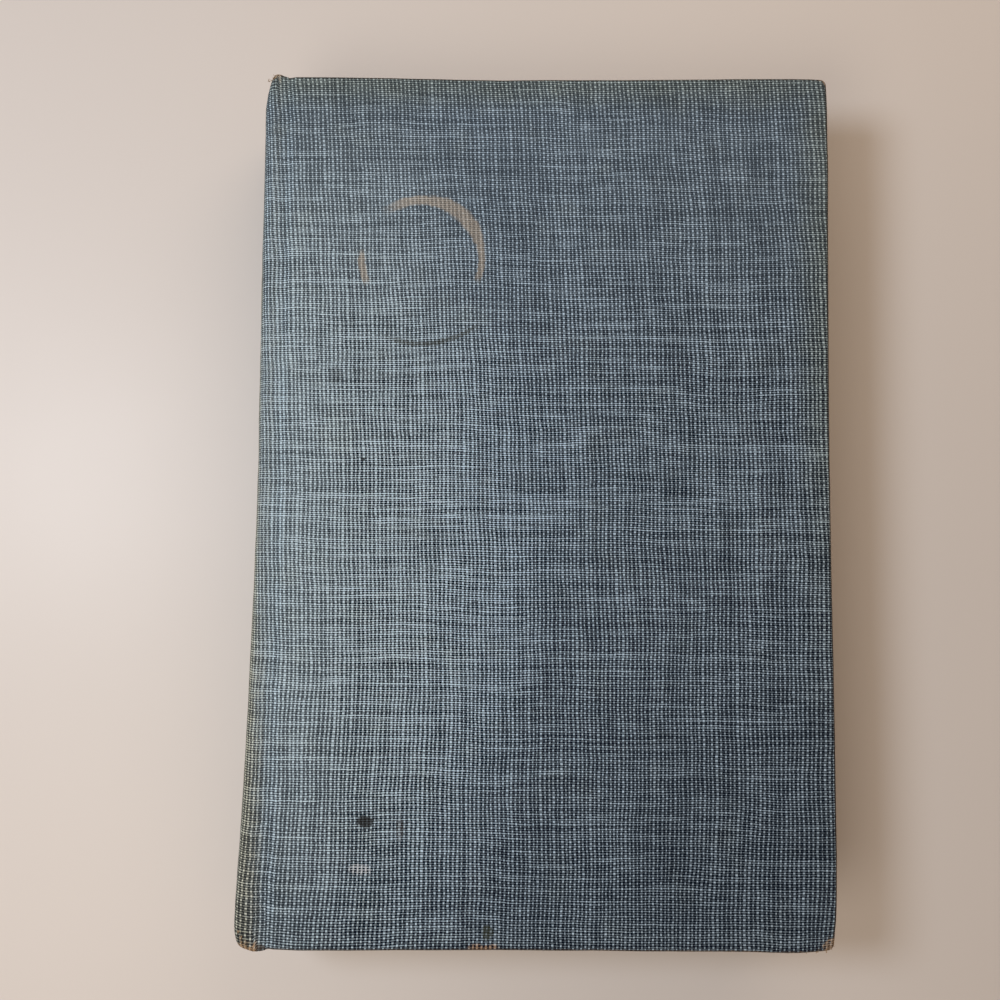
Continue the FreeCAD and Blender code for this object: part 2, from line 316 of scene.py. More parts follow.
def threadColour(tree, u, v, height, pale, fuzz):
    # cloudy patches, streaks along threads, rubbed high spots, and painted light: a painted sheen toward the spine,
    # painted shade toward the tail and the lower fore corner
    dims = bookCloth
    patches = cloudy(tree, joined(tree, u, v), 0.045, 4.0, 0.55)
    mottle = cloudy(tree, joined(tree, times(tree, u, 0.5), times(tree, v, 0.3), 3.0), 1.0, 3.0, 0.6)
    rubbed = addUp(tree, times(tree, patches, 0.5), times(tree, mottle, 0.7), times(tree, fuzz, 1.9),
                   pale, -0.85)
    # painted light: brighter toward the spine as the lamps' sheen, darker toward the tail, the lower fore corner
    # and the lower spine end as their light falls off
    sheenSpot = spot(tree, u, v, (8.0, -15.0), (70.0, 120.0), 0.0, 1.1)
    foreTailShade = spot(tree, u, v, (128.0, -88.0), (50.0, 60.0), 0.0, 1.2)
    shaded = spot(tree, u, v, (10.0, -96.0), (30.0, 50.0), 0.0, 1.2)
    # the joint's crest is lighter: partly rubbed pale, partly painted light against the shade of the groove
    crest = times(tree, between(tree, u, -2.9, -1.6), between(tree, u, -0.6, 0.9, 1.0, 0.0))
    paintedLight = addUp(tree, between(tree, v, -140.0, 60.0, 0.5, 0.74), times(tree, sheenSpot, 0.72))
    paintedLight = times(tree, paintedLight, addUp(tree, 1.0, times(tree, foreTailShade, -0.14), times(tree, shaded, -0.12)))
    paintedLight = times(tree, paintedLight, addUp(tree, 1.0, times(tree, crest, 0.28)))
    level = times(tree, calc(tree, "POWER", height, dims["contrast"]), rubbed, paintedLight)

    # dust flattens the weave near the head and along the joint
    dusty = calc(tree, "MAXIMUM", between(tree, v, 20.0, 100.0, 0.0, 0.27),
                 between(tree, u, 25.0, 5.0, 0.0, 0.14))
    clean = addUp(tree, 1.0, times(tree, dusty, -1.0))
    level = addUp(tree, times(tree, level, clean), times(tree, paintedLight, dusty, 0.3))
    colour = blendColour(tree, level, dims["ground"], dims["thread"])
    hueNoise = cloudy(tree, joined(tree, u, v, 77.0), 0.09, 3.0, 0.6)
    # warmer and less blue toward the spine: a painted sheen of the warm lamps at the left; the cloudy warm patches
    # are the cloth's own
    sheenWarmth = spot(tree, u, v, (0.0, 0.0), (60.0, 150.0), 0.0, 1.2)
    warm = addUp(tree, between(tree, hueNoise, 0.5, 0.75, 0.0, 0.35), times(tree, sheenWarmth, 0.75))
    return tinted(tree, warm, colour, (1.09, 1.03, 0.92))


def edgeToningAndShade(tree, colour, u, v, edges):
    # green toning along the edges of the board, a thin dark brown line painted on the rounded edges as shade, and a
    # dirty spine
    dims = bookCloth
    rag = wander(tree, joined(tree, u, v, 12.0), 0.4, 4.0, 0.65, 5.0)
    toFore, toHead, toTail = edges
    nearEdge = calc(tree, "MINIMUM", calc(tree, "MINIMUM", toFore, toHead), toTail)
    green = times(tree, between(tree, addUp(tree, nearEdge, rag), 1.0, 11.0, 1.0, 0.0),
                  between(tree, addUp(tree, v, times(tree, u, 0.5)), 0.0, 120.0, 0.1, 0.8))
    colour = tinted(tree, times(tree, green, 0.8), colour, (0.98, 0.9, 0.68))
    # a thin dark line along the rounded edges: painted shade where the cloth turns down away from the light
    rim = calc(tree, "ABSOLUTE", addUp(tree, nearEdge, 0.3, times(tree, rag, 0.1)))
    line = between(tree, rim, 0.4, 1.1, 1.0, 0.0)
    colour = blendColour(tree, times(tree, line, 0.75), colour, dims["edgeShadeColour"])
    raggedU = addUp(tree, u, times(tree, rag, 0.7))
    leaning = addUp(tree, raggedU, times(tree, v, 0.025), 2.25)
    spineTone = times(tree, between(tree, leaning, -4.6, 1.2, 0.9, 0.0),
                      between(tree, raggedU, dims["backHinge"] - 1.0, dims["backHinge"] + 5.0))
    return tinted(tree, spineTone, colour, (1.12, 0.9, 0.64))


def stainCloth(tree, colour, u, v, broken):
    # a cup's ring and the drops round it, with uneven borders
    su = addUp(tree, u, wander(tree, joined(tree, u, v), 0.5, 3.0, 0.6, 1.5))
    sv = addUp(tree, v, wander(tree, joined(tree, u, v, 21.0), 0.5, 3.0, 0.6, 1.5))
    ring, faintRing = clothMarks["ring"], clothMarks["faintRing"]

    def broadBand(angle):
        return addUp(tree, 1.0, times(tree, between(tree, angle, 0.0, 38.0), 1.05),
                     times(tree, between(tree, angle, 52.0, 95.0), -0.75))

    def thinBand(angle):
        return 0.75

    tan = ringStain(tree, su, sv, ring, broadBand, [(-26, -12, 106, 134), (-181, -180, -162, -151)])
    tan = calc(tree, "MAXIMUM", tan, ringStain(tree, su, sv, ring, thinBand, [(170, 178, 181, 182)]))
    soaked = addUp(tree, 0.25, times(tree, broken, 0.42))
    colour = blendColour(tree, times(tree, tan, soaked), colour, ring["colour"])
    faint = ringStain(tree, su, sv, faintRing, thinBand, [(-118, -100, -62, -48)])
    colour = blendColour(tree, times(tree, faint, faintRing["strength"]), colour, faintRing["colour"])
    for centre, radii, stain, strength in clothMarks["stains"]:
        colour = blendColour(tree, times(tree, spot(tree, su, sv, centre, radii), strength), colour, stain)
    for centre, radii, scuff, strength in clothMarks["scuffs"]:
        rough = times(tree, spot(tree, su, sv, centre, radii), broken, strength)
        colour = blendColour(tree, rough, colour, scuff)
    return colour


def rubCorners(tree, colour, u, v, edges, broken):
    # bare threads where corners and caps have rubbed through
    toFore, toHead, toTail = edges
    fine = times(tree, cloudy(tree, joined(tree, u, v, 31.0), 0.9, 3.0, 0.7), 1.5)
    headReach = addUp(tree, times(tree, hypotenuse(tree, toFore, toHead), 0.42), fine)
    tailReach = addUp(tree, times(tree, hypotenuse(tree, toFore, toTail), 0.17), fine)
    corner = calc(tree, "MAXIMUM", between(tree, headReach, 1.2, 1.6, 1.0, 0.0),
                  between(tree, tailReach, 1.1, 1.5, 1.0, 0.0))
    fromTailEdge = addUp(tree, calc(tree, "ABSOLUTE", toTail), times(tree, fine, 1.6))
    lowEdge = times(tree, between(tree, fromTailEdge, 0.8, 1.7, 1.0, 0.0),
                    between(tree, u, 30.0, 120.0, 0.1, 0.7))
    capEnd = addUp(tree, calc(tree, "ABSOLUTE", v), -bookCloth["coverHalf"])
    capWear = times(tree, between(tree, addUp(tree, times(tree, capEnd, 0.3), fine), 0.1, 0.6),
                    between(tree, u, -0.4, -1.6), between(tree, u, -24.0, -15.0), 1.5)
    worn = calc(tree, "MAXIMUM", calc(tree, "MAXIMUM", corner, lowEdge), capWear)
    bare = times(tree, worn, addUp(tree, 0.12, times(tree, broken, 0.6)))
    return blendColour(tree, bare, colour, bookCloth["bareThread"])


def makeBookCloth():
    material, tree, shader = startMaterial("book_cloth", 0.85, 0.06)
    sheet = tree.nodes.new("ShaderNodeUVMap")
    sheet.uv_map = "cloth"
    split = tree.nodes.new("ShaderNodeSeparateXYZ")
    tree.links.new(sheet.outputs["UV"], split.inputs[0])
    u, v = split.outputs[0], split.outputs[1]
    height, pale = weave(tree, u, v)
    fuzz = cloudy(tree, joined(tree, u, v), 1.9, 3.0, 0.75)
    broken = between(tree, addUp(tree, height, times(tree, fuzz, 0.8)), 0.45, 0.95)
    half = bookCloth["coverHalf"]
    edges = (calc(tree, "SUBTRACT", bookCloth["coverWidth"], u), calc(tree, "SUBTRACT", half, v),
             addUp(tree, half, v))
    colour = threadColour(tree, u, v, height, pale, fuzz)
    colour = edgeToningAndShade(tree, colour, u, v, edges)
    colour = stainCloth(tree, colour, u, v, broken)
    colour = rubCorners(tree, colour, u, v, edges, broken)
    tree.links.new(colour, shader.inputs["Base Color"])
    plug(tree, shader.inputs["Roughness"], between(tree, height, 0.2, 1.0, 0.95, 0.72))
    shader.inputs["Sheen Weight"].default_value = 0.02
    shader.inputs["Sheen Roughness"].default_value = 0.5
    emboss(tree, shader, addUp(tree, height, times(tree, fuzz, 0.35)), bookCloth["bump"], 0.9)
    return material


clothMaterial = makeBookCloth()
print("cloth woven")


# papers, boards and threads, all in metres on Object coordinates

def streaks(tree, axes, rates, detail, roughness):
    # noise drawn out along the axes, by its rate a metre on each
    return cloudy(tree, joined(tree, *[times(tree, axis, rate) for axis, rate in zip(axes, rates)]),
                  1.0, detail, roughness)


def makePaper(name, tones, foxing=0.0, edges=False):
    material, tree, shader = startMaterial(name, 0.88, 0.2)
    place, x, y, z = objectAxes(tree)
    patches = cloudy(tree, place, 28.0, 5.0, 0.6)
    fibre = cloudy(tree, place, 900.0, 3.0, 0.7)
    colour = blendColour(tree, between(tree, patches, 0.3, 0.72), tones[0], tones[1])
    colour = blendColour(tree, times(tree, fibre, 0.25), colour, tones[2])
    if foxing:
        spots = cloudy(tree, place, 160.0, 4.0, 0.75)
        colour = blendColour(tree, between(tree, spots, 0.66, 0.76, 0.0, foxing), colour,
                             linear(150, 100, 58))
    height = fibre
    if edges:
        # leaf after leaf: fine lines that stand up and down, seen on all four edges; the low lines are painted
        # darker as shade between the leaves
        leaves = streaks(tree, (x, y, z), (14.0, 14.0, 9000.0), 2.0, 0.7)
        gather = streaks(tree, (x, y, z), (3.0, 3.0, 800.0), 2.0, 0.6)
        dark = between(tree, addUp(tree, leaves, times(tree, gather, 0.7)), 0.62, 1.05, 0.75, 0.0)
        colour = tinted(tree, dark, colour, (0.5, 0.43, 0.34))
        height = addUp(tree, leaves, times(tree, gather, 0.6))
    tree.links.new(colour, shader.inputs["Base Color"])
    emboss(tree, shader, height, 0.05 * millimetre, 0.7 if edges else 0.25)
    return material


def makeBoard():
    # grey-brown pasteboard: matted flecks, layered at its edges
    material, tree, shader = startMaterial("book_board", 0.92, 0.15)
    place, x, y, z = objectAxes(tree)
    flecks = cloudy(tree, place, 1400.0, 4.0, 0.75)
    layers = streaks(tree, (x, y, z), (60.0, 60.0, 4200.0), 3.0, 0.6)
    colour = blendColour(tree, between(tree, flecks, 0.35, 0.65), linear(122, 98, 70), linear(172, 146, 112))
    colour = blendColour(tree, between(tree, layers, 0.45, 0.7, 0.0, 0.5), colour, linear(96, 76, 54))
    tree.links.new(colour, shader.inputs["Base Color"])
    emboss(tree, shader, addUp(tree, flecks, layers), 0.12 * millimetre, 0.8)
    return material


def makeMull():
    # stiff open cloth, threads 1.1 mm apart, stained with glue
    material, tree, shader = startMaterial("mull", 0.85, 0.25)
    place, x, y, z = objectAxes(tree)
    around = addUp(tree, x, times(tree, z, -1.0))
    heights = []
    for way, other in ((around, y), (y, around)):
        thread = times(tree, addUp(tree, way, 0.5), 900.0)
        slub = cloudy(tree, joined(tree, calc(tree, "FLOOR", thread), times(tree, other, 120.0)), 1.0, 2.0)
        half = times(tree, slub, 0.22)
        heights.append(between(tree, fromThread(tree, thread), half, addUp(tree, half, 0.12), 1.0, 0.0))
    threads = calc(tree, "MAXIMUM", *heights)
    glue = cloudy(tree, place, 90.0, 4.0, 0.6)
    under = blendColour(tree, glue, linear(140, 104, 66), linear(188, 158, 112))
    colour = blendColour(tree, threads, under, linear(216, 206, 180))
    tree.links.new(colour, shader.inputs["Base Color"])
    emboss(tree, shader, threads, 0.12 * millimetre, 0.9)
    return material


def makeKraft():
    material, tree, shader = startMaterial("kraft_paper", 0.8, 0.3)
    place, x, y, z = objectAxes(tree)
    ribs = streaks(tree, (x, y, z), (40.0, 1500.0, 40.0), 3.0, 0.6)
    patches = cloudy(tree, place, 60.0, 4.0, 0.6)
    colour = blendColour(tree, patches, linear(126, 92, 58), linear(168, 130, 90))
    colour = blendColour(tree, between(tree, ribs, 0.4, 0.7, 0.0, 0.4), colour, linear(98, 70, 44))
    tree.links.new(colour, shader.inputs["Base Color"])
    emboss(tree, shader, ribs, 0.05 * millimetre, 0.6)
    return material


def makeHeadband():
    # two threads sewn in turn over a core, dulled by dust, with painted shade in the grooves between stitches
    material, tree, shader = startMaterial("headband_thread", 0.6, 0.4)
    place, x, y, z = objectAxes(tree)
    turns = times(tree, addUp(tree, z, times(tree, y, 0.25)), 1 / (1.5 * millimetre))
    stitch = times(tree, turns, 4.0)
    pick = between(tree, fromThread(tree, turns), 0.22, 0.28)
    ridge = calc(tree, "ABSOLUTE", calc(tree, "SINE", times(tree, stitch, math.pi)))
    dust = cloudy(tree, place, 400.0, 4.0, 0.6)
    colour = blendColour(tree, pick, linear(196, 182, 150), linear(96, 44, 36))
    # painted shade in the grooves between the stitches
    colour = blendColour(tree, between(tree, ridge, 0.0, 0.5, 0.55, 0.0), colour, linear(44, 32, 24))
    colour = blendColour(tree, times(tree, dust, 0.4), colour, linear(150, 132, 104))
    tree.links.new(colour, shader.inputs["Base Color"])
    emboss(tree, shader, ridge, 0.12 * millimetre, 1.0)
    return material


paperTones = {
    "leaf_paper": (linear(212, 196, 164), linear(232, 219, 190), linear(186, 164, 128)),
    "endpaper": (linear(216, 203, 176), linear(232, 222, 200), linear(192, 174, 144)),
    "inlay_card": (linear(150, 130, 100), linear(176, 156, 124), linear(112, 92, 66)),
}
leafMaterial = makePaper("leaf_paper", paperTones["leaf_paper"], 0.25, True)
endpaperMaterial = makePaper("endpaper", paperTones["endpaper"], 0.6)
cardMaterial = makePaper("inlay_card", paperTones["inlay_card"], 0.2)
boardMaterial = makeBoard()
mullMaterial = makeMull()
kraftMaterial = makeKraft()
headbandMaterial = makeHeadband()
print("papers and boards ready")


# the shape of the case, as the frame has it

caseShape = {
    "crestRound": 3.5 * millimetre,
    "groove": 1.7 * millimetre,      # hinge line back to the crest of the spine
    "grooveDepth": 0.5 * millimetre,
    "joint": 1.4 * millimetre,       # hinge line to the board
    "bevelRun": 2.2 * millimetre,
    "cloth": 0.4 * millimetre,
    "turnIn": 15 * millimetre,
}
crestX = hingeX - caseShape["groove"]
grooveZ = crestZ - caseShape["grooveDepth"]
roundRise = crestZ - midZ - caseShape["crestRound"]
spineDepth = crestX - spineLow.x
caseRadius = (spineDepth ** 2 + roundRise ** 2 - caseShape["crestRound"] ** 2) / (
    2 * (spineDepth - caseShape["crestRound"]))
arcCentreX = spineLow.x + caseRadius
blendAngle = math.asin(roundRise / (caseRadius - caseShape["crestRound"]))
crestArc = caseShape["crestRound"] * (math.pi / 2 - blendAngle)
backArc = 2 * caseRadius * blendAngle
aroundLength = 2 * crestArc + backArc
capHalf = spineHigh.y


def aroundSpine(distance):
    # the outer face of the case, by the way along it from the front crest: x, z and outward direction
    if distance > aroundLength / 2:
        x, z, nx, nz = aroundSpine(aroundLength - distance)
        return x, 2 * midZ - z, nx, -nz
    if distance < crestArc:
        angle = math.pi / 2 - distance / caseShape["crestRound"]
        radius, cx, cz = caseShape["crestRound"], crestX, midZ + roundRise
    else:
        angle = blendAngle - (distance - crestArc) / caseRadius
        radius, cx, cz = caseRadius, arcCentreX, midZ
    nx, nz = -math.cos(angle), math.sin(angle)
    return cx + radius * nx, cz + radius * nz, nx, nz


def through(points, value):
    # a value read off (place, value) pairs, held level past either end
    if value <= points[0][0]:
        return points[0][1]
    for (p0, v0), (p1, v1) in zip(points, points[1:]):
        if value <= p1:
            return lerp(v0, v1, (value - p0) / (p1 - p0))
    return points[-1][1]


# how far head, tail and fore edge of the front stray outwards, in millimetres along the edge
headStray = [(-3.4, 0.3), (-1.8, 0.55), (-0.9, 0.52), (0.2, 0.12), (1.2, -0.2), (12, -0.15), (25, -0.22),
             (46, -0.46), (56, -0.58), (67, -0.36), (88, -0.16), (109, 0.22), (122, 0.5), (133, 0.62),
             (142, 0.55)]
tailStray = [(-3.8, 0.45), (-2.8, 0.8), (-1.8, 1.12), (-0.8, 1.2), (0.4, 1.05), (1.2, 0.85), (2.2, 0.55),
             (4, 0.6), (9, 0.75), (16, 0.72), (25, 0.58), (35, 0.4), (45, 0.3), (58, 0.08), (74, 0.06),
             (84, -0.08), (94, 0.0), (120, -0.18), (131, 0.05), (136, -0.2), (142, -0.5)]
foreStray = [(-111, -0.3), (-106, -0.15), (-103, 0.05), (-98, 0.27), (-86, 0.42), (-60, 0.34),
             (-45, 0.28), (-30, 0.14), (-15, 0.02), (10, -0.04), (24, -0.02), (45, 0.14), (65, 0.3),
             (76, 0.42), (87, 0.6), (98, 0.5), (104, 0.48), (111, 0.35)]


def endStray(u, side, front):
    if not front:
        return (0.35 - 0.3 * ease(u, -2, 3)) * millimetre
    return through(headStray if side > 0 else tailStray, u) * millimetre


def ripple(x, y, z, size, seed=0.0):
    return noise.noise(Vector((x / size + seed, y / size, z / size)))


def foldedSheet(columns, rows, place, turned=False):
    # a flat grid laid out by place(column, row), which gives the point and its place on the flat cloth
    sheet = bmesh.new()
    bmesh.ops.create_grid(sheet, x_segments=columns, y_segments=rows, size=0.5)
    cloth = sheet.loops.layers.uv.new("cloth")
    flat = {}
    for vert in sheet.verts:
        point, flat[vert] = place(round((vert.co.x + 0.5) * columns), round((vert.co.y + 0.5) * rows))
        vert.co = point
    for face in sheet.faces:
        for loop in face.loops:
            loop[cloth].uv = flat[loop.vert]
    if turned:
        bmesh.ops.reverse_faces(sheet, faces=sheet.faces[:])
    return sheet


def makeObject(name, shape, material, thickness=0.0, smooth=True):
    # thickness goes inwards from the faces; it becomes plain mesh at once
    for face in shape.faces:
        face.smooth = smooth
    mesh = bpy.data.meshes.new(name)
    shape.to_mesh(mesh)
    shape.free()
    mesh.materials.append(material)
    piece = bpy.data.objects.new(name, mesh)
    bpy.context.collection.objects.link(piece)
    if thickness:
        wall = piece.modifiers.new("thickness", "SOLIDIFY")
        wall.thickness = thickness
        wall.offset = -1.0
        wall.use_even_offset = False
        seen = piece.evaluated_get(bpy.context.evaluated_depsgraph_get())
        solid = bpy.data.meshes.new_from_object(seen)
        piece.modifiers.clear()
        piece.data = solid
        solid.name = name
    return piece


# head and tail of spine and joints: the cloth goes over the end, rolls, and comes back inside

endSteps = {"middle": 74, "over": 8, "roll": 6, "under": 6, "back": 4}


def endStations():
    head = [("over", k / endSteps["over"]) for k in range(1, endSteps["over"] + 1)]
    head += [("roll", k / endSteps["roll"]) for k in range(1, endSteps["roll"] + 1)]
    head += [("under", k / endSteps["under"]) for k in range(1, endSteps["under"] + 1)]
    head += [("back", k / endSteps["back"]) for k in range(1, endSteps["back"] + 1)]
    middle = [("middle", 2 * k / endSteps["middle"] - 1) for k in range(endSteps["middle"] + 1)]
    return [(-1, *step) for step in reversed(head)] + [(1, *step) for step in middle + head]


stations = endStations()


def endPoint(stage, amount, top, rise, lip, roll, back):
    # y, how far in from the outer face, and y on the flat cloth
    start = top - rise
    if stage == "middle":
        return start * amount, 0.0, start * amount
    quarter = math.pi / 2
    if stage == "over":
        return (start + rise * math.sin(amount * quarter), lip * (1 - math.cos(amount * quarter)),
                start + amount * 0.8 * (rise + lip))
    flat = start + 0.8 * (rise + lip)
    turn = math.pi if rise > 2 * roll else quarter
    if stage == "roll":
        angle = amount * turn
        return (top - roll + roll * math.cos(angle), lip + roll * math.sin(angle), flat + angle * roll)
    flat += turn * roll
    if turn == quarter:
        way = rise - roll + (rise * 0.6 if stage == "under" else 0)
        if stage == "under":
            return lerp(top - roll, start - roll, amount), lip + roll, flat + amount * way
        return start - roll - amount * back, lip + roll, flat + roll + amount * back
    if stage == "under":
        angle = (1 - amount) * quarter
        inner = max(lip - 2 * roll, -0.2 * millimetre)
        return (start + (rise - 2 * roll) * math.sin(angle), lip - inner * math.cos(angle),
                flat + amount * 0.8 * (rise + lip))
    return start - amount * back, 2 * roll, flat + 0.8 * (rise + lip) + amount * back


capShape = {
    "rise": 4.5 * millimetre,
    "lipAtCrest": 0.7 * millimetre,
    "lipAtBack": 3.2 * millimetre,
    "roll": 0.45 * millimetre,
    "back": 9 * millimetre,
    # how far the back of the spine has been pushed in, by millimetres from tail to head
    "lean": [(-112, -1.8), (-109.5, -1.6), (-107, -1.6), (-101, -1.6), (-96, -1.5), (-86, -1.0),
             (-66, -0.28), (-45, 0.25), (-25, 0.62), (-5, 1.05), (5, 1.0), (15, 0.88), (36, 0.7),
             (57, 0.55), (67, 0.48), (98, 0.39), (105, 0.3), (108, 1.1), (112, 1.4)],
    "crumple": 0.16 * millimetre,
}


def spineDent(point, fraction):
    # old cloth gives: a slow lean along the spine and small crumples, nothing at the crests
    y = point.y * 1000
    bow = math.sin(fraction * math.pi)
    push = through(capShape["lean"], y) * millimetre
    if push > 0:
        push *= 1 - 0.3 * ease(bow, 0.6, 1.0)
    wave = ripple(point.x, point.y, point.z * 1.6, 0.011, 3.1)
    wave += 0.5 * ripple(point.x, point.y, point.z, 0.005, 8.7)
    ends = 1 + 1.3 * ease(abs(y), 90, 108)
    return Vector(((push + wave * capShape["crumple"] * ends) * ease(bow, 0.0, 0.42), 0, 0))


def makeSpine(inset, columns, low, high, name, material, thickness, turnedIn=True):
    # low and high are ways round the case from the front crest; the sheet runs from back to front
    def place(column, row):
        way = lerp(high, low, column / columns)
        x, z, nx, nz = aroundSpine(way)
        fraction = way / aroundLength
        lip = lerp(capShape["lipAtBack"], capShape["lipAtCrest"], abs(2 * fraction - 1) ** 2.2)
        if turnedIn:
            side, stage, amount = stations[row]
            nearFront = 1 - ease(fraction, 0.0, 0.8)
            top = coverHalf + lerp(endStray(-2, side, False),
                                   endStray(-(caseShape["groove"] + way * 0.4) * 1000,
                                                                       side, True), nearFront)
            y, depth, flat = endPoint(stage, amount, top, capShape["rise"], lip, capShape["roll"],
                                      capShape["back"])
        else:
            side, y, depth = 1, lerp(-1, 1, row / 60) * (capHalf - 1.0 * millimetre), 0.0
            past = max(abs(y) - (capHalf - capShape["rise"]), 0.0) / (capShape["rise"] - 0.5 * millimetre)
            depth = (lip + 0.2 * millimetre) * (1 - math.sqrt(max(1 - past * past, 0.0)))
            flat = y
        depth += inset
        point = Vector((x - nx * depth, side * y, z - nz * depth))
        point += spineDent(point, fraction)
        return point, (-(caseShape["groove"] + way) * 1000, side * flat * 1000)

    rows = len(stations) - 1 if turnedIn else 60
    return makeObject(name, foldedSheet(columns, rows, place), material, thickness)


spineCloth = makeSpine(0.0, 64, 0.0, aroundLength, "spineCloth", clothMaterial, caseShape["cloth"])
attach(spineCloth, "text_block")
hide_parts("spine_cloth")
spineInlay = makeSpine(0.45 * millimetre, 40, crestArc + 0.9 * millimetre,
                       crestArc + backArc - 0.9 * millimetre,
                       "spineInlay", cardMaterial, 0.38 * millimetre, turnedIn=False)
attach(spineInlay, "text_block")
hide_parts("spine_inlay")
print("spine covered")


# covers: the same box bent and worn in the same places, once as cloth and once as board

coverShape = {
    "cornerRound": 1.45 * millimetre,
    "edgeRound": 0.95 * millimetre,
    "sway": 0.05 * millimetre,        # along the edges
    "sag": 0.05 * millimetre,         # over the face
    "wornCorner": 0.42 * millimetre,
    "otherCorners": 0.15 * millimetre,
}
wrappedLow = topZ - 2.5 * millimetre - 2 * 0.45 * millimetre


def rampTop(x):
    start = hingeX + caseShape["joint"]
    return lerp(grooveZ, topZ, ease(x, start, start + caseShape["bevelRun"]))


def coverWear(point, front):
    # moves a point of the front cover as age has; the back cover has its own wear
    x, y, z = point
    seed = 0.0 if front else 50.0
    u = (x - hingeX) * 1000
    v = y * 1000
    width = (foreX - hingeX) * 1000
    half = coverHalf * 1000
    near = ease(abs(v), half - 12, half)
    atFore = ease(u, width - 12, width)
    end = 1 if y > 0 else -1
    point.y += end * endStray(u, end, front) * near
    point.y += ripple(x, 0, 0, 0.006, seed + (3 if y > 0 else 9)) * coverShape["sway"] * near
    point.x += ripple(0, y, 0, 0.007, seed + 5) * coverShape["sway"] * atFore
    if front:
        point.x += through(foreStray, v) * millimetre * atFore
    else:
        point.x += ripple(0, y, 0, 0.06, 31.0) * 0.5 * millimetre * atFore
    for side in (-1, 1):
        worn = front and side < 0
        reach = 9.0 if worn else 5.0
        away = math.hypot(width - u, half - side * v)
        pull = max(1 - away / reach, 0.0) ** 1.6
        size = coverShape["wornCorner"] if worn else coverShape["otherCorners"]
        point.x -= size * 0.9 * pull
        point.y -= side * size * 0.9 * pull
        point.z -= size * 0.25 * pull
    point.z += ripple(x, y, 0, 0.03, seed + 2) * coverShape["sag"] * ease(u, 3.6, 12)
    return point


def coverStops(low, high, step, extra):
    count = round((high - low) / step)
    return sorted([lerp(low, high, k / count) for k in range(1, count)] + extra)


def coverShell(inset, front):
    left = hingeX + (1.4 if inset else 1.3) * millimetre
    right, half = foreX - inset, coverHalf - inset
    low, top = wrappedLow + inset, topZ - inset
    shell = bmesh.new()
    size = Matrix.Diagonal((right - left, 2 * half, top - low, 1))
    bmesh.ops.create_cube(shell, size=1.0,
                          matrix=Matrix.Translation(((left + right) / 2, 0, (low + top) / 2)) @ size)

    def along(edge, axis):
        a, b = edge.verts
        return abs(a.co[axis] - b.co[axis]) > 1e-4

    corners = [e for e in shell.edges if along(e, 2) and e.verts[0].co.x > 0]
    bmesh.ops.bevel(shell, geom=corners, offset=coverShape["cornerRound"] - inset, offset_type="OFFSET",
                    segments=5,
                    profile=0.5, affect="EDGES", material=-1)
    rims = [e for e in shell.edges if not along(e, 2) and max(v.co.x for v in e.verts) > left + 1e-4]
    bmesh.ops.bevel(shell, geom=rims, offset=coverShape["edgeRound"] - inset, offset_type="OFFSET",
                    segments=4,
                    profile=0.5, affect="EDGES", material=-1)
    start = hingeX + caseShape["joint"]
    nearJoint = [start + k * 0.35 * millimetre for k in range(1, 8)]
    turnIn = caseShape["turnIn"]
    fine = [k * 1.5 * millimetre for k in range(2, 7)]
    stopsX = coverStops(left, right, 4 * millimetre, nearJoint + [foreX - turnIn] + [foreX - k for k in fine])
    stopsY = coverStops(-half, half, 4 * millimetre,
                        [s * (coverHalf - k) for s in (-1, 1) for k in fine + [turnIn]])
    for axis, stops in ((0, stopsX), (1, stopsY)):
        direction = (1, 0, 0) if axis == 0 else (0, 1, 0)
        for stop in stops:
            spotOn = (stop, 0, 0) if axis == 0 else (0, stop, 0)
            bmesh.ops.bisect_plane(shell, geom=shell.verts[:] + shell.edges[:] + shell.faces[:], dist=1e-6,
                                   plane_co=spotOn, plane_no=direction)
    shell.normal_update()
    if not inset:
        gone = []
        for face in shell.faces:
            centre = face.calc_center_median()
            inWindow = abs(centre.y) < coverHalf - turnIn and centre.x < foreX - turnIn
            if inWindow and (face.normal.z < -0.9 or face.normal.x < -0.9):
                gone.append(face)
        bmesh.ops.delete(shell, geom=gone, context="FACES")
        layFlat(shell, left, front)
    for vert in shell.verts:
        raised = (vert.co.z - low) / (top - low)
        vert.co.z = low + raised * (rampTop(vert.co.x) - inset - low)
        vert.co = coverWear(vert.co, front)
    if not front:
        for vert in shell.verts:
            vert.co.z = 2 * midZ - vert.co.z
        bmesh.ops.reverse_faces(shell, faces=shell.faces[:])
    return shell


def layFlat(shell, left, front):
    # the map "cloth": edges and turn-ins are unrolled from the face
    cloth = shell.loops.layers.uv.new("cloth")
    deep = topZ - wrappedLow
    for face in shell.faces:
        centre = face.calc_center_median()
        under = face.normal.z < -0.9
        toFore = foreX - centre.x
        toEnd = coverHalf - abs(centre.y)
        for loop in face.loops:
            x, y, z = loop.vert.co
            u, v = x, y
            if under and toFore < toEnd:
                u = 2 * foreX + deep - x
            elif under:
                v = math.copysign(2 * coverHalf + deep - abs(y), y)
            elif face.normal.x < -0.9:
                u = left - (topZ - z)
            elif abs(face.normal.z) < 0.99:
                out = loop.vert.normal.copy()
                out.z = 0.0
                if out.length > 0.05:
                    out.normalize()
                    u += out.x * (topZ - z)
                    v += out.y * (topZ - z)
            u = (u - hingeX) * 1000
            if not front:
                u = -(2 * caseShape["groove"] + aroundLength) * 1000 - u
            loop[cloth].uv = (u, v * 1000)


jointShape = {"reach": 1.3 * millimetre, "columns": 18, "back": 13 * millimetre}


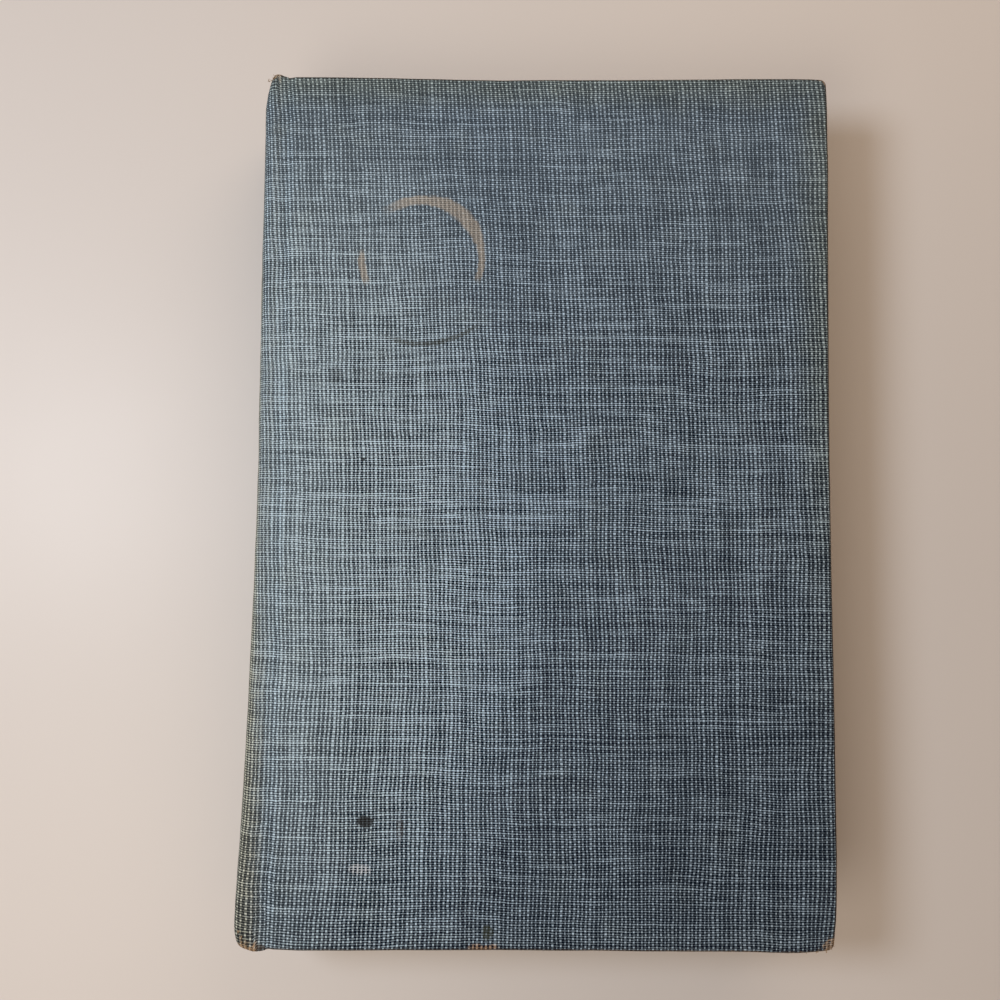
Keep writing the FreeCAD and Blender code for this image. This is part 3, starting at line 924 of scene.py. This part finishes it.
def makeJoint(front):
    # the cloth from the crest of the spine down into the groove and on to the board
    def place(column, row):
        t = column / jointShape["columns"]
        x = lerp(crestX, hingeX + jointShape["reach"], t)
        top = lerp(crestZ, grooveZ, ease(x, crestX, hingeX))
        side, stage, amount = stations[row]
        cap = endPoint(stage, amount, coverHalf + endStray(-1.7, side, front), capShape["rise"],
                       capShape["lipAtCrest"], capShape["roll"], capShape["back"])
        end = coverHalf + endStray((x - hingeX) * 1000, side, front)
        hem = endPoint(stage, amount, end, 0.45 * millimetre, 0.45 * millimetre, 0.45 * millimetre,
                       jointShape["back"])
        share = 1 - ease(x, crestX, hingeX - 0.2 * millimetre)
        y, depth, flat = (lerp(a, b, share) for a, b in zip(hem, cap))
        point = Vector((x, side * y, top - depth))
        point.z += ripple(x * 2, point.y, 0, 0.014, 4.0) * 0.12 * millimetre * math.sin(math.pi * t)
        u = (x - hingeX) * 1000
        if not front:
            point.z = 2 * midZ - point.z
            u = -(2 * caseShape["groove"] + aroundLength) * 1000 - u
        return point, (u, side * flat * 1000)

    sheet = foldedSheet(jointShape["columns"], len(stations) - 1, place, turned=not front)
    side = "front" if front else "back"
    piece = makeObject(side + "JointCloth", sheet, clothMaterial, caseShape["cloth"])
    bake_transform(piece)
    return piece


paperPath = [(0, (-0.55, -3.57)), (1, (-1.2, -3.4)), (2, (-1.75, -2.75)), (3, (-1.8, -1.85)),
             (4, (-1.15, -1.27)),
             (5, (0.0, -1.2)), (6, (0.85, -1.35)), (7, (1.18, -2.2)), (8, (1.25, -3.0)), (9, (1.8, -3.43))]


def makeHingePaper(front):
    # the endpaper from the first leaf, up under the joint, and down to the board
    columns, rows = 36, 72

    def place(column, row):
        t = column / columns * (len(paperPath) - 1)
        k = min(int(t), len(paperPath) - 2)
        f = t - k
        picked = [paperPath[min(max(k + o, 0), len(paperPath) - 1)][1] for o in (-1, 0, 1, 2)]
        x, z = (0.5 * (2 * b + (c - a) * f + (2 * a - 5 * b + 4 * c - d) * f * f
                       + (3 * b - a - 3 * c + d) * f ** 3)
                for a, b, c, d in zip(*picked))
        y = lerp(-1, 1, row / rows) * (blockHigh.y - 0.1 * millimetre)
        z += 0.24 * ease(t, 8.2, 9) * (1 - ease(abs(y) * 1000, 93.8, 95.8))
        z += 0.1 * ripple(x, y * 1000, z, 9.0, 2.0) * math.sin(math.pi * t / 9)
        point = Vector((hingeX + x * millimetre, y, topZ + z * millimetre))
        if not front:
            point.z = 2 * midZ - point.z
        return point, (x, y * 1000)

    side = "front" if front else "back"
    piece = makeObject(side + "HingePaper", foldedSheet(columns, rows, place, turned=not front),
                       endpaperMaterial,
                       0.16 * millimetre)
    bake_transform(piece)
    return piece


for front in (True, False):
    side = "front" if front else "back"
    coverCloth = makeObject(side + "CoverCloth", coverShell(0.0, front), clothMaterial, caseShape["cloth"])
    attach(coverCloth, side + "_cover")
    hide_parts(side + "_cover_cloth")
    board = makeObject(side + "Board", coverShell(0.45 * millimetre, front), boardMaterial)
    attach(board, side + "_cover")
    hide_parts(side + "_board")
    makeJoint(front)
    makeHingePaper(front)
print("covers made")


# loose ends of thread where the cloth has rubbed through: root in millimetres from the hinge line, then the way out

frays = {
    "tail": ("text_block", 0.11,
             [(-5.4, -107.6, -1), (-4.9, -108.8, -1), (-4.1, -110.2, -1), (-3.2, -111.0, -1),
                                  (-2.4, -111.2, -1), (-1.6, -111.3, -1)]),
    "head": ("text_block", 0.11, [(-3.6, 109.9, 1), (-2.8, 110.6, 1), (-2.0, 110.8, 1), (-1.3, 110.7, 1)]),
    "tailCorner": ("front_cover", 0.1, [(141.4, -107.2, 0), (141.2, -109.1, 0), (140.6, -110.0, -1),
                                        (139.1, -110.4, -1), (137.0, -110.7, -1), (134.3, -110.8, -1)]),
    "headCorner": ("front_cover", 0.09, [(141.2, 109.9, 0), (140.2, 110.9, 1)]),
}


def makeFray(name):
    # short bent threads, round, with blunt ends
    body, thick, roots = frays[name]
    chance = random.Random(name)
    shape = bmesh.new()
    for u, v, side in roots:
        for strand in range(3):
            out = Vector((1.0 if side == 0 else chance.uniform(-0.5, 0.3),
                          side + chance.uniform(-0.3, 0.3), 0))
            out = out.normalized()
            start = Vector((hingeX * 1000 + u + chance.uniform(-0.5, 0.5), v,
                            topZ * 1000 - chance.uniform(0.35, 0.9)))
            start -= out * 0.5
            bend = Vector((chance.uniform(-1, 1), chance.uniform(-1, 1), chance.uniform(-1, 0.1))) * 0.35
            reach = chance.uniform(0.4, 0.9)
            past = start
            for step in range(1, 5):
                t = step / 4
                point = start + out * reach * t + bend * t * t
                way = point - past
                turn = way.to_track_quat("Z", "Y").to_matrix().to_4x4()
                place = Matrix.Translation((point + past) / 2 * millimetre) @ turn
                bmesh.ops.create_cone(shape, cap_ends=True, segments=6,
                                      radius1=thick * (1.1 - 0.4 * t) * millimetre,
                                      radius2=thick * (1.0 - 0.4 * t) * millimetre,
                                      depth=(way.length + 0.05) * millimetre, matrix=place)
                past = point
    piece = makeObject(name + "Fray", shape, threadMaterial)
    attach(piece, body)


def makeThread():
    material, tree, shader = startMaterial("loose_thread", 0.9, 0.1)
    place, x, y, z = objectAxes(tree)
    colour = blendColour(tree, cloudy(tree, place, 900.0, 3.0, 0.6), linear(104, 92, 78),
                         linear(184, 162, 134))
    tree.links.new(colour, shader.inputs["Base Color"])
    emboss(tree, shader, cloudy(tree, place, 5000.0, 2.0, 0.6), 0.02 * millimetre, 0.5)
    return material


threadMaterial = makeThread()
for name in frays:
    makeFray(name)
print("threads frayed")


# the leaves: thin bundles whose edges don't quite line up, fanned at the shoulders

leafShape = {"bundles": 92, "hollow": 2.5 * millimetre, "rounding": 2.5 * millimetre,
             "shoulder": 1.9 * millimetre,
             "jitter": 0.11 * millimetre, "gathering": 7}


def makeLeaves():
    chance = random.Random(17)
    blockTop, blockBottom = flyLow.z, 2 * midZ - flyLow.z
    halfThick = (blockTop - blockBottom) / 2
    foot = flyLow.x
    fore = flyHigh.x
    tip = foot - leafShape["shoulder"]
    chord = halfThick + leafShape["shoulder"]
    backRadius = (chord ** 2 + leafShape["rounding"] ** 2) / (2 * leafShape["rounding"])
    foreRadius = (halfThick ** 2 + leafShape["hollow"] ** 2) / (2 * leafShape["hollow"])
    leaves = bmesh.new()
    step = 2 * halfThick / leafShape["bundles"]
    for k in range(leafShape["bundles"]):
        z = blockBottom + (k + 0.5) * step
        fromMiddle = z - midZ
        fanned = fromMiddle * chord / halfThick
        back = tip + math.sqrt(backRadius ** 2 - chord ** 2) - math.sqrt(backRadius ** 2 - fanned ** 2)
        back += 0.05 * millimetre
        hollow = math.sqrt(foreRadius ** 2 - fromMiddle ** 2) - foreRadius + leafShape["hollow"]
        fold = 0.12 * millimetre * math.sin(math.pi * (k % leafShape["gathering"]) / leafShape["gathering"])
        edge = fore - hollow - fold - chance.uniform(0, leafShape["jitter"])
        half = blockHigh.y - fold * 0.5 - chance.uniform(0, leafShape["jitter"])
        shift = chance.uniform(-0.5, 0.5) * leafShape["jitter"]
        size = Matrix.Diagonal((edge - back, 2 * half, step * 0.985, 1))
        place = Matrix.Translation(((edge + back) / 2, shift * 0.5, z))
        bmesh.ops.create_cube(leaves, size=1.0, matrix=place @ size)
    for x in (foot, foot - leafShape["shoulder"] * 0.5):
        bmesh.ops.bisect_plane(leaves, geom=leaves.verts[:] + leaves.edges[:] + leaves.faces[:], dist=1e-7,
                               plane_co=(x, 0, 0), plane_no=(1, 0, 0))
    for vert in leaves.verts:
        bent = max(foot - vert.co.x, 0.0) / (foot - tip)
        vert.co.z = midZ + (vert.co.z - midZ) * (1 + min(bent, 1.0) * (chord / halfThick - 1))
    return makeObject("leaves", leaves, leafMaterial, smooth=False)


leaves = makeLeaves()
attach(leaves, "text_block")
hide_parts("page_block")
print("leaves stacked")

dressed = {"front_flyleaf": endpaperMaterial, "back_flyleaf": endpaperMaterial,
           "front_pastedown": endpaperMaterial,
           "back_pastedown": endpaperMaterial, "headband": headbandMaterial, "tailband": headbandMaterial,
           "spine_mull": mullMaterial, "front_mull_flange": mullMaterial, "back_mull_flange": mullMaterial,
           "spine_lining": kraftMaterial, "spine_inlay": cardMaterial, "front_board": boardMaterial,
           "back_board": boardMaterial, "spine_cloth": clothMaterial, "front_cover_cloth": clothMaterial,
           "back_cover_cloth": clothMaterial, "page_block": leafMaterial}
for name, material in dressed.items():
    for place in cadNodes[name].material_slots:
        place.material = material


# the table, the light and the view

tableLook = {"tone": linear(206, 203, 200), "other": linear(200, 197, 195), "gloss": 0.34}


def makeTable():
    material, tree, shader = startMaterial("table", tableLook["gloss"], 0.3)
    place, x, y, z = objectAxes(tree)
    patches = cloudy(tree, place, 6.0, 4.0, 0.5)
    speckle = cloudy(tree, place, 700.0, 2.0, 0.6)
    colour = blendColour(tree, patches, tableLook["tone"], tableLook["other"])
    tree.links.new(colour, shader.inputs["Base Color"])
    plug(tree, shader.inputs["Roughness"], addUp(tree, tableLook["gloss"], times(tree, patches, 0.12)))
    emboss(tree, shader, speckle, 0.03 * millimetre, 0.25)
    table = bmesh.new()
    bmesh.ops.create_grid(table, x_segments=4, y_segments=4, size=1.6)
    bmesh.ops.translate(table, verts=table.verts[:], vec=(0, 0, -0.1 * millimetre))
    piece = makeObject("table", table, material)


lights = {
    "key": {"at": (-0.304, 0.059, 0.444), "to": (0.06, 0.1, 0.0), "size": 0.17, "power": 1.5,
            "colour": (0.86, 0.92, 1.0)},
    "side": {"at": (-0.2, -0.24, 0.44), "to": (-0.14, -0.14, 0.0), "size": 0.3, "power": 0.9,
             "colour": (1.0, 0.87, 0.74)},
    "fill": {"at": (0.25, 0.55, 0.38), "to": (0.05, 0.14, 0.0), "size": 0.6, "power": 1.6,
             "colour": (1.0, 0.8, 0.62)},
}


def addLight(name):
    look = lights[name]
    lamp = bpy.data.lights.new(name, "AREA")
    lamp.shape = "DISK"
    lamp.size = look["size"]
    lamp.energy = look["power"]
    lamp.color = look["colour"]
    carrier = bpy.data.objects.new(name, lamp)
    bpy.context.collection.objects.link(carrier)
    carrier.location = look["at"]
    carrier.rotation_euler = (Vector(look["to"]) - Vector(look["at"])).to_track_quat("-Z", "Y").to_euler()


makeTable()
for name in lights:
    addLight(name)
room = bpy.data.worlds.new("room")
room.use_nodes = True
room.node_tree.nodes["Background"].inputs["Color"].default_value = (1.0, 0.73, 0.54, 1.0)
room.node_tree.nodes["Background"].inputs["Strength"].default_value = 0.29
bpy.context.scene.world = room
bpy.context.scene.view_settings.view_transform = "Standard"

lens = bpy.data.cameras.new("camera")
lens.lens = 36.0
lens.sensor_width = 36.0
lens.clip_start = 0.01
camera = bpy.data.objects.new("camera", lens)
bpy.context.collection.objects.link(camera)
camera.location = (-0.008957, -0.018785, 0.284538)
camera.rotation_euler = (0.0740, 0.0010, 0.0109)
bpy.context.scene.camera = camera
print("stage set")
